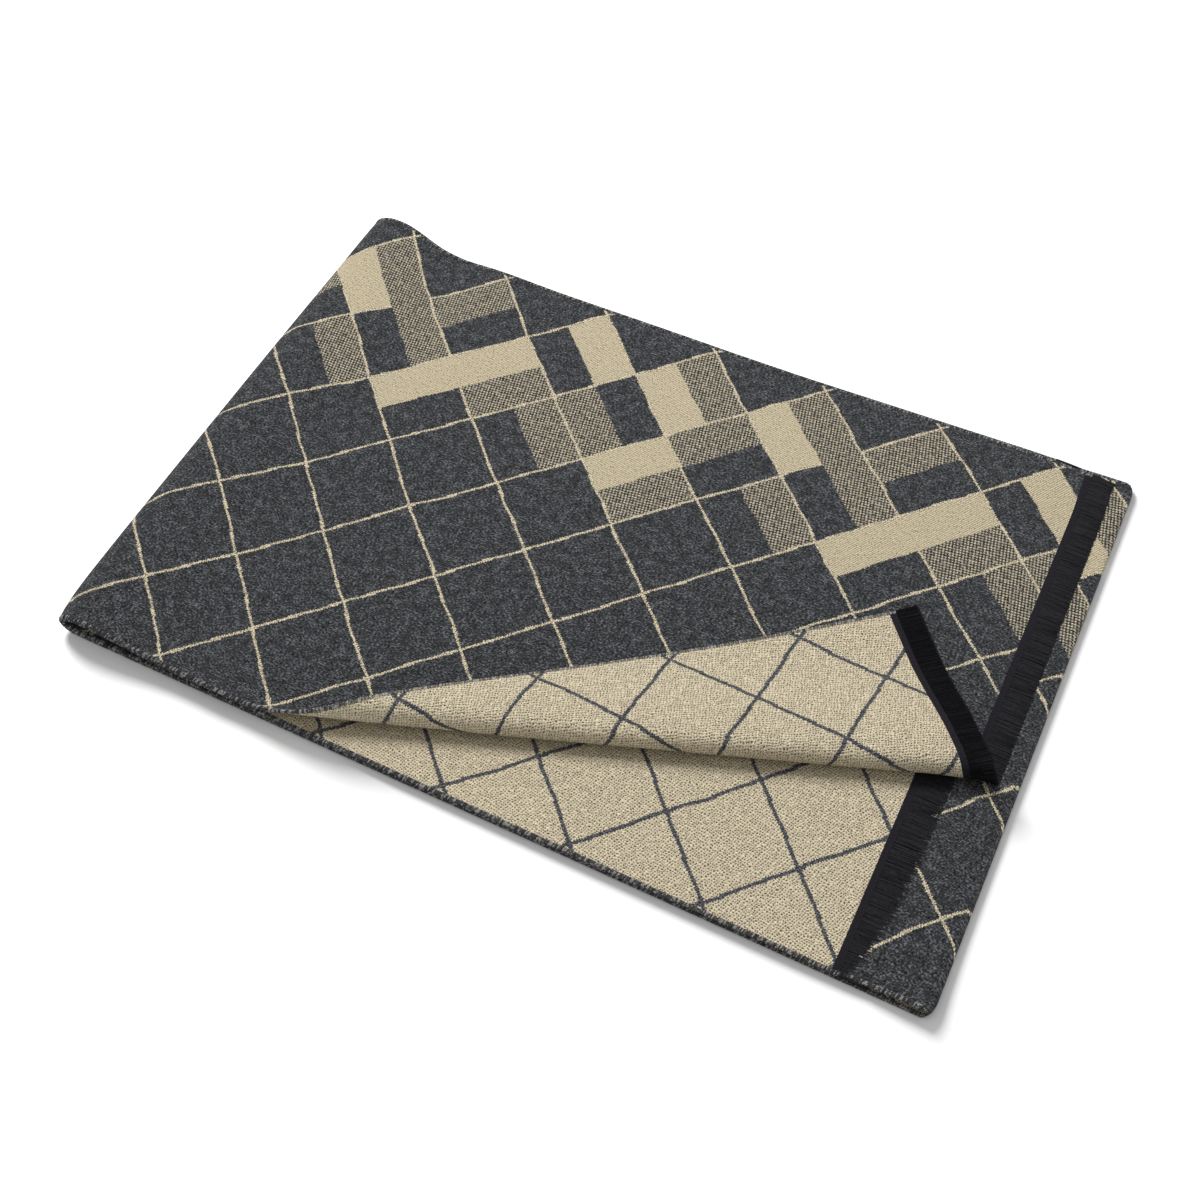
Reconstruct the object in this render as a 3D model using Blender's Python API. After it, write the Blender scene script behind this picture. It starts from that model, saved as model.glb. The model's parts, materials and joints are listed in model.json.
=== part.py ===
"""A long woven throw, folded in half twice into four plies, with one corner of the top ply turned back.

The cloth is one strip. It runs from end A (top ply) round the outer left fold into the bottom ply,
round the centre fold into the third ply, and round the inner left fold into the second ply and end B.
+X runs along the cloth towards the centre fold, +Y across it, and +Z is up. The origin is the middle
of the folded throw's footprint, on the surface that it lies on.
"""

import math

import bmesh
import bpy
from mathutils import Vector

# The cloth, in metres
CLOTH_THICKNESS = 0.0012
CLOTH_WIDTH = 0.306  # from selvedge to selvedge
STITCHING_WIDTH = 0.0019  # whipped yarn along each selvedge
BAND_LENGTH = 0.0033  # dark woven band across each end
FRINGE_LENGTH = 0.0118  # brush fringe beyond the band
FRINGE_THICKNESS = 0.001

# How it is folded, in metres
FOLDED_LENGTH = 0.4331  # outside of the outer left fold to outside of the centre fold
PLY_GAP = 0.0004  # air between two plies
SEAM_GAP = 0.0003  # clearance between solids that meet edge to edge
END_A_SETBACK = 0.0206  # from the outside of the centre fold back to the cloth's end on the top ply
END_B_SETBACK = 0.0411  # the same, on the second ply

# The corner of the top ply that is turned back
CREASE_START = 0.0941  # from the outside of the left fold to where the crease leaves the near selvedge
CREASE_ANGLE = math.radians(19.1)  # between the near selvedge and the crease
CREASE_RADIUS = 0.006  # of the soft roll, at the middle of the cloth
CORNER_CLEARANCE = 0.0007  # under the turned back corner's tip, where it comes nearest the top ply

BEND_STEPS = 10  # faces round each fold
CREASE_STEPS = 12

# Levels and edges that follow from the sizes above
PLY_PITCH = CLOTH_THICKNESS + PLY_GAP
BOTTOM_Z, THIRD_Z, SECOND_Z, TOP_Z = (CLOTH_THICKNESS / 2 + k * PLY_PITCH for k in range(4))
NEAR_Y, FAR_Y = -CLOTH_WIDTH / 2, CLOTH_WIDTH / 2
OUTER_RADIUS = (TOP_Z - BOTTOM_Z) / 2
INNER_RADIUS = CENTRE_RADIUS = PLY_PITCH / 2
LEFT_CENTRE_X = -FOLDED_LENGTH / 2 + CLOTH_THICKNESS / 2 + OUTER_RADIUS
RIGHT_CENTRE_X = FOLDED_LENGTH / 2 - CLOTH_THICKNESS / 2 - CENTRE_RADIUS
END_A_X = FOLDED_LENGTH / 2 - END_A_SETBACK
END_B_X = FOLDED_LENGTH / 2 - END_B_SETBACK

# The crease as a line across the top ply, and the flap that is turned back over it
CREASE_POINT = Vector((-FOLDED_LENGTH / 2 + CREASE_START, NEAR_Y, TOP_Z))
CREASE_ALONG = Vector((math.cos(CREASE_ANGLE), math.sin(CREASE_ANGLE), 0.0))
CREASE_OUT = Vector((math.sin(CREASE_ANGLE), -math.cos(CREASE_ANGLE), 0.0))
CREASE_ARC = math.pi * CREASE_RADIUS
CORNER_REACH = (Vector((END_A_X, NEAR_Y, TOP_Z)) - CREASE_POINT).dot(CREASE_OUT) - CREASE_ARC
FLAP_DROP = 2 * CREASE_RADIUS - CLOTH_THICKNESS - CORNER_CLEARANCE
FLAP_SLOPE = math.asin(FLAP_DROP / (CORNER_REACH + FRINGE_LENGTH))

# The hinge lines. The upper plies swing about the outside of the left fold, high enough for
# the flap to lie under them when they are turned over.
FLAP_TOP_Z = TOP_Z + 2 * CREASE_RADIUS + CLOTH_THICKNESS / 2
LEFT_HINGE = Vector((-FOLDED_LENGTH / 2, 0.0, FLAP_TOP_Z / 2 + SEAM_GAP))
CREASE_HINGE = CREASE_POINT + CREASE_OUT * CREASE_RADIUS + Vector((0.0, 0.0, CREASE_RADIUS))


def cloth_material(name, colour, roughness):
    material = bpy.data.materials.new(name)
    material.use_nodes = True
    shader = material.node_tree.nodes["Principled BSDF"]
    shader.inputs["Base Color"].default_value = (*colour, 1.0)
    shader.inputs["Roughness"].default_value = roughness
    shader.inputs["Metallic"].default_value = 0.0
    return material


def hinge_empty(name, place, along):
    """An empty on a hinge line, with its X axis along the line."""
    empty = bpy.data.objects.new(name, None)
    empty.empty_display_size = 0.03
    empty.location = place
    empty.rotation_euler = (0.0, 0.0, math.atan2(along.y, along.x))
    bpy.context.scene.collection.objects.link(empty)
    return empty


def finish_sheet(name, mesh_in_world, thickness, material, body):
    """Makes the middle surface of a piece of cloth an object, thickens it, and hangs it on its body."""
    mesh = bpy.data.meshes.new(name)
    bmesh.ops.recalc_face_normals(mesh_in_world, faces=mesh_in_world.faces)
    mesh_in_world.to_mesh(mesh)
    mesh_in_world.free()
    mesh.materials.append(material)
    piece = bpy.data.objects.new(name, mesh)
    bpy.context.scene.collection.objects.link(piece)
    if body is not None:
        bpy.context.view_layer.update()
        piece.parent = body
        piece.matrix_parent_inverse = body.matrix_world.inverted()
    solid = piece.modifiers.new("Thickness", "SOLIDIFY")
    solid.thickness = thickness
    solid.offset = 0.0
    solid.use_even_offset = True
    return piece


def rectangle(x_range, y_range, z):
    """A flat piece of cloth between two X and two Y values, as a bmesh."""
    (x0, x1), (y0, y1) = x_range, y_range
    flat = bmesh.new()
    corners = [flat.verts.new((x, y, z)) for x, y in ((x0, y0), (x1, y0), (x1, y1), (x0, y1))]
    flat.faces.new(corners)
    return flat


def half_round(centre_x, centre_z, radius, side, y_range, steps):
    """The middle surface of a fold: half a tube that opens away from side (-1 left, 1 right)."""
    y0, y1 = y_range
    fold = bmesh.new()
    start = Vector((centre_x, y0, centre_z - radius))
    edge = fold.edges.new((fold.verts.new(start), fold.verts.new((start.x, y1, start.z))))
    bmesh.ops.spin(
        fold,
        geom=[edge, *edge.verts],
        cent=(centre_x, 0.0, centre_z),
        axis=(0.0, -side, 0.0),
        angle=math.pi,
        steps=steps,
    )
    bmesh.ops.remove_doubles(fold, verts=fold.verts, dist=0.00001)
    return fold


def over_the_crease(point):
    """Where a point of the flat top ply lies once the corner is turned back."""
    out = (point - CREASE_POINT).dot(CREASE_OUT)
    if out <= 0.0:
        return point
    foot = point - CREASE_OUT * out
    if out < CREASE_ARC:
        turn = out / CREASE_RADIUS
        return foot + CREASE_OUT * (CREASE_RADIUS * math.sin(turn)) + Vector(
            (0.0, 0.0, CREASE_RADIUS * (1.0 - math.cos(turn)))
        )
    back = out - CREASE_ARC
    height = 2 * CREASE_RADIUS - back * math.sin(FLAP_SLOPE)
    return foot - CREASE_OUT * (back * math.cos(FLAP_SLOPE)) + Vector((0.0, 0.0, height))


def top_cloth(x_range, y_range, part):
    """A piece of the top ply, cut at the crease. part is "ply", "crease" or "flap"."""
    flat = rectangle(x_range, y_range, TOP_Z)

    def cut(distance, drop_inner=False, drop_outer=False):
        bmesh.ops.bisect_plane(
            flat,
            geom=[*flat.verts, *flat.edges, *flat.faces],
            plane_co=CREASE_POINT + CREASE_OUT * distance,
            plane_no=CREASE_OUT,
            clear_inner=drop_inner,
            clear_outer=drop_outer,
        )

    if part == "ply":
        cut(0.0, drop_outer=True)
    elif part == "flap":
        cut(CREASE_ARC, drop_inner=True)
    else:
        cut(SEAM_GAP, drop_inner=True)
        cut(CREASE_ARC - SEAM_GAP, drop_outer=True)
        for step in range(1, CREASE_STEPS):
            cut(CREASE_ARC * step / CREASE_STEPS)
    for vert in flat.verts:
        vert.co = over_the_crease(vert.co.copy())
    return flat


def base_stitching(y_range):
    """The whipped selvedge of the bottom and third plies, in one run round the centre fold."""
    edge = half_round(RIGHT_CENTRE_X, BOTTOM_Z + CENTRE_RADIUS, CENTRE_RADIUS, 1, y_range, BEND_STEPS)
    ends = [e for e in edge.edges if e.is_boundary and e.verts[0].co.y != e.verts[1].co.y]
    added = bmesh.ops.extrude_edge_only(edge, edges=ends)
    for vert in added["geom"]:
        if isinstance(vert, bmesh.types.BMVert):
            vert.co.x = LEFT_CENTRE_X + SEAM_GAP
    return edge


for old in list(bpy.data.objects):
    bpy.data.objects.remove(old)

charcoal = cloth_material("cloth charcoal side up", (0.045, 0.048, 0.057), 0.95)
beige = cloth_material("cloth beige side up", (0.485, 0.402, 0.242), 0.95)
whipping = cloth_material("edge stitching", (0.030, 0.032, 0.038), 0.9)
band_weave = cloth_material("end band", (0.046, 0.041, 0.055), 0.92)
brush = cloth_material("brush fringe", (0.012, 0.012, 0.014), 0.9)

upper_hinge = hinge_empty("top_layer hinge", LEFT_HINGE, Vector((0.0, 1.0, 0.0)))
second_hinge = hinge_empty("second_layer hinge", LEFT_HINGE, Vector((0.0, 1.0, 0.0)))
flap_hinge = hinge_empty("corner_flap hinge", CREASE_HINGE, CREASE_ALONG)
bpy.context.view_layer.update()
flap_hinge.parent = upper_hinge
flap_hinge.matrix_parent_inverse = upper_hinge.matrix_world.inverted()

# Rows across the cloth: the two whipped selvedges and the woven cloth between them
near_row = (NEAR_Y, NEAR_Y + STITCHING_WIDTH)
far_row = (FAR_Y - STITCHING_WIDTH, FAR_Y)
woven_row = (near_row[1] + SEAM_GAP, far_row[0] - SEAM_GAP)
selvedges = {"near": near_row, "far": far_row}

# Bottom and third plies, and the fold that joins them at the middle of the cloth
base_run = (LEFT_CENTRE_X + SEAM_GAP, RIGHT_CENTRE_X - SEAM_GAP)
finish_sheet("bottom_ply", rectangle(base_run, woven_row, BOTTOM_Z), CLOTH_THICKNESS, beige, None)
finish_sheet("third_ply", rectangle(base_run, woven_row, THIRD_Z), CLOTH_THICKNESS, charcoal, None)
centre_fold = half_round(
    RIGHT_CENTRE_X, BOTTOM_Z + CENTRE_RADIUS, CENTRE_RADIUS, 1, woven_row, BEND_STEPS
)
finish_sheet("centre_fold", centre_fold, CLOTH_THICKNESS, charcoal, None)
for side, row in selvedges.items():
    finish_sheet(f"base_{side}_stitching", base_stitching(row), CLOTH_THICKNESS, whipping, None)

# The two folds at the left, one inside the other
left_folds = {
    "outer": (OUTER_RADIUS, BOTTOM_Z + OUTER_RADIUS),
    "inner": (INNER_RADIUS, THIRD_Z + INNER_RADIUS),
}
for which, (radius, middle_z) in left_folds.items():
    fold = half_round(LEFT_CENTRE_X, middle_z, radius, -1, woven_row, BEND_STEPS)
    finish_sheet(f"{which}_left_fold", fold, CLOTH_THICKNESS, charcoal, None)
    for side, row in selvedges.items():
        edge = half_round(LEFT_CENTRE_X, middle_z, radius, -1, row, BEND_STEPS)
        finish_sheet(f"{which}_fold_{side}_stitching", edge, CLOTH_THICKNESS, whipping, None)

# The second ply, which ends in end B
second_run = (LEFT_CENTRE_X + SEAM_GAP, END_B_X - BAND_LENGTH - SEAM_GAP)
finish_sheet("second_ply", rectangle(second_run, woven_row, SECOND_Z), CLOTH_THICKNESS, beige, second_hinge)
for side, row in selvedges.items():
    edge = rectangle((second_run[0], END_B_X), row, SECOND_Z)
    finish_sheet(f"second_ply_{side}_stitching", edge, CLOTH_THICKNESS, whipping, second_hinge)
end_b_band = rectangle((END_B_X - BAND_LENGTH, END_B_X), woven_row, SECOND_Z)
finish_sheet("end_b_band", end_b_band, CLOTH_THICKNESS, band_weave, second_hinge)
end_b_fringe = rectangle((END_B_X + SEAM_GAP, END_B_X + FRINGE_LENGTH), (NEAR_Y, FAR_Y), SECOND_Z)
finish_sheet("end_b_fringe", end_b_fringe, FRINGE_THICKNESS, brush, second_hinge)

# The top ply, which ends in end A, with its near corner turned back over the crease
top_run = (LEFT_CENTRE_X + SEAM_GAP, END_A_X - BAND_LENGTH - SEAM_GAP)
band_run = (END_A_X - BAND_LENGTH, END_A_X)
fringe_run = (END_A_X + SEAM_GAP, END_A_X + FRINGE_LENGTH)
top_pieces = (
    (top_run, woven_row, CLOTH_THICKNESS),
    ((top_run[0], END_A_X), near_row, CLOTH_THICKNESS),
    (band_run, woven_row, CLOTH_THICKNESS),
    (fringe_run, (NEAR_Y, FAR_Y), FRINGE_THICKNESS),
)
top_names = {
    "ply": ("top_ply", "top_ply_near_stitching", "end_a_band", "end_a_fringe"),
    "crease": ("crease_roll", "crease_stitching", "crease_band", "crease_fringe"),
    "flap": ("corner_flap", "flap_stitching", "flap_band", "flap_fringe"),
}
for part, names in top_names.items():
    carrier = flap_hinge if part == "flap" else upper_hinge
    up_side = charcoal if part == "ply" else beige
    materials = (up_side, whipping, band_weave, brush)
    for name, material, (x_range, y_range, thickness) in zip(names, materials, top_pieces):
        finish_sheet(name, top_cloth(x_range, y_range, part), thickness, material, carrier)
far_edge = rectangle((top_run[0], END_A_X), far_row, TOP_Z)
finish_sheet("top_ply_far_stitching", far_edge, CLOTH_THICKNESS, whipping, upper_hinge)
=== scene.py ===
# Looks of the folded woven throw: one long cloth in four plies, whipped selvedges, bands and brush fringes.
import json
import math

import bpy
import numpy as np
from mathutils import Matrix, Vector


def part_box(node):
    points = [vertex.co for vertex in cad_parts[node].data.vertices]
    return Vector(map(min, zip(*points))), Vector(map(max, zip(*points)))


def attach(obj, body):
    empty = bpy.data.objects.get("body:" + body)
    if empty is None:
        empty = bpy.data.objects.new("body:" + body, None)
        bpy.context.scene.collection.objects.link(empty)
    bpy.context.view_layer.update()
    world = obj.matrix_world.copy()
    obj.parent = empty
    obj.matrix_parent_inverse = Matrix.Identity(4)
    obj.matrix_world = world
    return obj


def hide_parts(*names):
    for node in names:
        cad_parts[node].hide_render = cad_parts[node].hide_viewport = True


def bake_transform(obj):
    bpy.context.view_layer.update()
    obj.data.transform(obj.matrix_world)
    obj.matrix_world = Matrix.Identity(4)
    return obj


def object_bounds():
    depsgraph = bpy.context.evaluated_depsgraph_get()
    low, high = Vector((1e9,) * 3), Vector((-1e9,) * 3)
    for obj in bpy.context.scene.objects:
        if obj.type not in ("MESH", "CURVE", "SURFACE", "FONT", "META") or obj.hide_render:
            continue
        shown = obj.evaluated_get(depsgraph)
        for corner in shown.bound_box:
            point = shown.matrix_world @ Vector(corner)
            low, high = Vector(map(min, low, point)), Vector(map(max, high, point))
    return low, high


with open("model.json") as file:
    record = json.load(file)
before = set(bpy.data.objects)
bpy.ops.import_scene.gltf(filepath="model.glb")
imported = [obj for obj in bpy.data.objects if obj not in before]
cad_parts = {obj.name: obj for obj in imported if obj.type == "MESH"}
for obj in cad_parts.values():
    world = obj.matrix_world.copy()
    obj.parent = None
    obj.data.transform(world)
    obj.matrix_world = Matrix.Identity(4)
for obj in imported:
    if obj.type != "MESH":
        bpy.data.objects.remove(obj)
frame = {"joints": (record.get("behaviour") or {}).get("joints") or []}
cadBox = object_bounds()
print("frame loaded")


def middleHeight(node):
    low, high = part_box(node)
    return (low.z + high.z) / 2


# Levels and edges of the cloth, from the frame
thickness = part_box("top_ply")[1].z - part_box("top_ply")[0].z
bottomZ = middleHeight("bottom_ply")
thirdZ = middleHeight("third_ply")
secondZ = middleHeight("second_ply")
topZ = middleHeight("top_ply")
leftX = cadBox[0].x
rightX = cadBox[1].x
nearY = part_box("base_near_stitching")[0].y
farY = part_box("base_far_stitching")[1].y
width = farY - nearY
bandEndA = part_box("end_a_band")[1].x
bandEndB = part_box("end_b_band")[1].x
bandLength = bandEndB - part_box("end_b_band")[0].x
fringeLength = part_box("end_b_fringe")[1].x - bandEndB

# The crease of the turned back corner, from its joint
creaseJoint = [joint for joint in frame["joints"] if joint["name"] == "corner_unfold"][0]
creaseAlong = np.array(creaseJoint["axis"])
creaseOut = np.array([creaseAlong[1], -creaseAlong[0], 0.0])
creaseRadius = creaseJoint["pos_m"][2] - topZ
creaseStart = np.array(creaseJoint["pos_m"]) - creaseOut * creaseRadius - np.array([0, 0, creaseRadius])


# Camera, light and floor
cameraSettings = {
    "place": (0.2224, -0.5505),  # metres, across the floor
    "above": 0.7117,  # above the top ply
    "azimuth": 22.43,
    "elevation": 51.57,
    "roll": 2.75,
    "lens": 58.17,
}
lightSettings = {
    "high": {"place": (-0.45, 0.60, 1.45), "size": 0.9, "power": 27.0, "onFloor": False},
    "low": {"place": (-1.40, 1.10, 1.05), "size": 0.95, "power": 84.0, "onFloor": True},
    "sky": 0.50,
}
floorSettings = {"size": 6.0, "below": 0.0002, "colour": (0.93, 0.93, 0.93, 1.0)}


def smooth(value):
    value = np.clip(value, 0.0, 1.0)
    return value * value * (3 - 2 * value)


def makeCamera(settings):
    data = bpy.data.cameras.new("camera")
    data.lens = settings["lens"]
    camera = bpy.data.objects.new("camera", data)
    azimuth, elevation, roll = (math.radians(settings[k]) for k in ("azimuth", "elevation", "roll"))
    back = Vector((math.sin(azimuth) * math.cos(elevation), -math.cos(azimuth) * math.cos(elevation),
                   math.sin(elevation)))
    level = Vector((math.cos(azimuth), math.sin(azimuth), 0.0))
    above = back.cross(level)
    right = level * math.cos(roll) + above * math.sin(roll)
    up = back.cross(right)
    turn = Matrix((right, up, back)).transposed().to_4x4()
    place = Vector((*settings["place"], topZ + thickness / 2 + settings["above"]))
    camera.matrix_world = Matrix.Translation(place) @ turn
    bpy.context.scene.collection.objects.link(camera)
    bpy.context.scene.camera = camera


def makeAreaLight(name, floor, place, size, power, onFloor):
    # A soft round light. The high one lights only the cloth, and the low one only the floor.
    data = bpy.data.lights.new(name, "AREA")
    data.shape = "DISK"
    data.size = size
    data.energy = power
    light = bpy.data.objects.new(name, data)
    light.location = place
    light.rotation_euler = (-Vector(place)).to_track_quat("-Z", "Y").to_euler()
    bpy.context.scene.collection.objects.link(light)
    lit = bpy.data.collections.new(name + " shines on")
    lit.objects.link(floor)
    lit.collection_objects[0].light_linking.link_state = "INCLUDE" if onFloor else "EXCLUDE"
    light.light_linking.receiver_collection = lit


def makeWorld(strength):
    world = bpy.data.worlds.new("studio")
    world.use_nodes = True
    world.node_tree.nodes["Background"].inputs["Color"].default_value = (1, 1, 1, 1)
    world.node_tree.nodes["Background"].inputs["Strength"].default_value = strength
    bpy.context.scene.world = world


makeCamera(cameraSettings)
makeWorld(lightSettings["sky"])
bpy.context.scene.view_settings.view_transform = "Standard"
print("camera and sky made")


# Small helpers for material nodes
def node(tree, kind, inputs=None, **settings):
    made = tree.nodes.new(kind)
    for key, value in settings.items():
        setattr(made, key, value)
    for key, value in (inputs or {}).items():
        if isinstance(value, bpy.types.NodeSocket):
            tree.links.new(value, made.inputs[key])
        else:
            made.inputs[key].default_value = value
    return made


def calc(tree, operation, *values):
    return node(tree, "ShaderNodeMath", dict(enumerate(values)), operation=operation).outputs[0]


def mixColour(tree, factor, first, second):
    return node(tree, "ShaderNodeMix", {0: factor, 6: first, 7: second}, data_type="RGBA").outputs[2]


def mixValue(tree, factor, first, second):
    return node(tree, "ShaderNodeMix", {0: factor, 2: first, 3: second}, data_type="FLOAT").outputs[0]


def scaledVector(tree, value, scale):
    return node(tree, "ShaderNodeVectorMath", {0: value, "Scale": scale}, operation="SCALE").outputs[0]


def grain(tree, place, scale, detail=2.0, stretch=(1, 1, 1)):
    # A noise value around 0.5; stretch squeezes it along an axis
    squeezed = node(tree, "ShaderNodeVectorMath", {0: place, 1: stretch}, operation="MULTIPLY").outputs[0]
    return node(tree, "ShaderNodeTexNoise", {"Vector": squeezed, "Scale": scale, "Detail": detail}).outputs[0]


def spread(tree, value, low, high):
    # Stretches a value from low-high to 0-1 and clips it
    return node(tree, "ShaderNodeMapRange", {"Value": value, "From Min": low, "From Max": high}).outputs[0]


def fabricMaterial(name, roughness, sheen):
    material = bpy.data.materials.new(name)
    material.use_nodes = True
    shader = material.node_tree.nodes["Principled BSDF"]
    shader.inputs["Roughness"].default_value = roughness
    shader.inputs["Sheen Weight"].default_value = sheen
    shader.inputs["Sheen Roughness"].default_value = 0.5
    shader.inputs["Specular IOR Level"].default_value = 0.08
    return material, material.node_tree, shader


def addBump(tree, shader, height, distance, strength=1.0):
    bump = node(tree, "ShaderNodeBump", {"Height": height, "Distance": distance, "Strength": strength})
    tree.links.new(bump.outputs[0], shader.inputs["Normal"])


# The woven pattern: a diamond lattice, and a stripe of half diamonds beside one selvedge
pattern = {
    "diamondLength": 62.04,  # mm along the cloth
    "diamondWidth": 66.0,  # mm across it
    "firstNode": 388.8,  # mm from end A to a crossing of the lattice
    "nodeFromNear": 37.0,  # mm from the near selvedge to a row of crossings
    "thread": 0.00085,  # metres, the step that edges are rounded to
    "stripeRow": 5,  # the middle of the three rows of half diamonds, counted in half diamonds
}
# One entry per half diamond pair: first half, second half, and how it is split.
# 0 is the ground, 1 the other colour, 0.5 tweed. Split 0 is left and right, 1 is top and bottom.
stripeCards = [
    (1, 0.5, 0), (0.5, 0, 1), (0, 1, 0), (1, 0.5, 0),
    (0, 0.5, 0), (1, 0.5, 1), (0.5, 0, 0), (0.5, 0, 1),
    (0, 0.5, 0), (1, 0, 1), (0, 0.5, 0), (1, 0.5, 1),
]


def halfDiamond(tree, rising, falling):
    # The kind (0, 0.5 or 1) of the half diamond there, and how its diamond is split
    risingCell = calc(tree, "FLOOR", rising)
    fallingCell = calc(tree, "FLOOR", falling)
    row = calc(tree, "ADD", risingCell, fallingCell)
    column = calc(tree, "FLOORED_MODULO", calc(tree, "SUBTRACT", risingCell, fallingCell), 8.0)
    column = calc(tree, "FLOOR", calc(tree, "DIVIDE", column, 2.0))
    card = calc(tree, "MULTIPLY_ADD", row, -4.0, 4.0 * (pattern["stripeRow"] + 1))
    card = calc(tree, "ADD", card, calc(tree, "ADD", column, 0.5))
    cards = node(tree, "ShaderNodeValToRGB", {0: calc(tree, "DIVIDE", card, float(len(stripeCards)))})
    ramp = cards.color_ramp
    ramp.interpolation = "CONSTANT"
    while len(ramp.elements) < len(stripeCards):
        ramp.elements.new(1.0)
    for index, kinds in enumerate(stripeCards):
        ramp.elements[index].position = index / len(stripeCards)
        ramp.elements[index].color = (*kinds, 1.0)
    first, second, split = node(tree, "ShaderNodeSeparateColor", {0: cards.outputs[0]}).outputs
    rightHalf = calc(tree, "GREATER_THAN", calc(tree, "FRACT", rising), 0.5)
    bottomHalf = calc(tree, "LESS_THAN", calc(tree, "FRACT", falling), 0.5)
    half = mixValue(tree, split, rightHalf, bottomHalf)
    inStripe = calc(tree, "COMPARE", row, float(pattern["stripeRow"]), 1.1)
    return calc(tree, "MULTIPLY", mixValue(tree, half, first, second), inStripe), split


def jacquard(tree, lineWidth):
    # Returns the cloth position, the half diamonds' kind and the lattice's mask
    cloth = node(tree, "ShaderNodeUVMap", uv_map="cloth").outputs[0]
    wander = node(tree, "ShaderNodeTexNoise", {"Vector": cloth, "Scale": 42.0, "Detail": 1.0}).outputs[1]
    jitter = node(tree, "ShaderNodeTexNoise", {"Vector": cloth, "Scale": 850.0, "Detail": 1.0}).outputs[1]
    moved = cloth
    for noise, amount in ((wander, 0.0026), (jitter, 0.0011)):
        centred = node(tree, "ShaderNodeVectorMath", {0: noise, 1: (0.5, 0.5, 0.5)}, operation="SUBTRACT")
        scaled = scaledVector(tree, centred.outputs[0], amount)
        moved = node(tree, "ShaderNodeVectorMath", {0: moved, 1: scaled}).outputs[0]
    step = (pattern["thread"],) * 3
    snapped = node(tree, "ShaderNodeVectorMath", {0: moved, 1: step}, operation="SNAP").outputs[0]
    parts = node(tree, "ShaderNodeSeparateXYZ", {0: snapped}).outputs
    along = calc(tree, "MULTIPLY_ADD", parts[0], -1000.0, pattern["firstNode"])
    along = calc(tree, "DIVIDE", along, pattern["diamondLength"])
    across = calc(tree, "MULTIPLY_ADD", parts[1], 1000.0, -pattern["nodeFromNear"])
    across = calc(tree, "DIVIDE", across, pattern["diamondWidth"])
    rising = calc(tree, "ADD", across, along)
    falling = calc(tree, "SUBTRACT", across, along)

    halfWidth = lineWidth / 2 * math.hypot(1 / pattern["diamondLength"], 1 / pattern["diamondWidth"])
    lines = []
    for diagonal, step, mergedSplit in ((rising, (0.03, 0.0), 1.0), (falling, (0.0, 0.03), 0.0)):
        share = calc(tree, "FRACT", calc(tree, "ADD", diagonal, 0.5))
        distance = calc(tree, "ABSOLUTE", calc(tree, "SUBTRACT", share, 0.5))
        line = calc(tree, "LESS_THAN", distance, halfWidth)
        before = halfDiamond(tree, *(calc(tree, "SUBTRACT", v, d) for v, d in zip((rising, falling), step)))
        after = halfDiamond(tree, *(calc(tree, "ADD", v, d) for v, d in zip((rising, falling), step)))
        # No line crosses a block that runs on from one diamond into the next
        merged = calc(tree, "COMPARE", before[0], after[0], 0.1)
        merged = calc(tree, "MULTIPLY", merged, calc(tree, "GREATER_THAN", before[0], 0.25))
        for side in (before, after):
            merged = calc(tree, "MULTIPLY", merged, calc(tree, "COMPARE", side[1], mergedSplit, 0.1))
        lines.append(calc(tree, "GREATER_THAN", calc(tree, "SUBTRACT", line, merged), 0.5))
    return cloth, halfDiamond(tree, rising, falling)[0], calc(tree, "MAXIMUM", *lines)


def waves(tree, cloth, direction, pitch):
    # Stripes across the cloth, -1 to 1, with that pitch in millimetres
    parts = node(tree, "ShaderNodeVectorMath", {0: cloth, 1: (*direction, 0)}, operation="DOT_PRODUCT")
    turns = calc(tree, "MULTIPLY", parts.outputs["Value"], 2000 * math.pi / pitch)
    return calc(tree, "SINE", turns)


clothLooks = {
    "charcoal": (0.030, 0.031, 0.0340, 1),
    "charcoalFleck": (0.180, 0.186, 0.198, 1),
    "charcoalDeep": (0.008, 0.0085, 0.010, 1),
    # beige and beigePale: the beige yarn with painted shade in the twill's valleys and painted highlight on
    # its ridges
    "beige": (0.370, 0.312, 0.206, 1),
    "beigePale": (0.660, 0.578, 0.412, 1),
    "beigeShade": (0.150, 0.125, 0.085, 1),
    "reverseBeige": (0.560, 0.480, 0.330, 1),
    "reversePale": (0.760, 0.670, 0.490, 1),
    # The next colour is dark beige, painted shade for the gaps between the reverse's yarns
    "reverseGapShade": (0.090, 0.073, 0.051, 1),
    "reverseLine": (0.040, 0.042, 0.048, 1),
}


yarnLooks = {
    "whip": (0.090, 0.092, 0.101, 1),
    "whipDeep": (0.026, 0.026, 0.030, 1),
    "whipFleck": (0.36, 0.35, 0.33, 1),
    "fringe": (0.022, 0.022, 0.0255, 1),
    "fringeDeep": (0.005, 0.005, 0.006, 1),
    "band": (0.034, 0.031, 0.039, 1),
    # The next colour is the band's purple grey in painted shade, for the valleys between its ribs
    "bandRibShade": (0.007, 0.0065, 0.009, 1),
}


def charcoalColour(tree, cloth):
    # Brushed heather: dark ground, pale and deep flecks of a millimetre or so
    flecks = grain(tree, cloth, 1050.0, 3.0, (0.8, 1.1, 1))
    clouds = grain(tree, cloth, 210.0, 2.0)
    deep = grain(tree, cloth, 760.0, 2.0, (1.2, 0.8, 1))
    mottled = calc(tree, "MULTIPLY_ADD", clouds, 0.35, flecks)
    deep = spread(tree, deep, 0.46, 0.64)
    colour = mixColour(tree, deep, clothLooks["charcoal"], clothLooks["charcoalDeep"])
    colour = mixColour(tree, spread(tree, mottled, 0.66, 0.95), colour, clothLooks["charcoalFleck"])
    return colour, flecks


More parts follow.
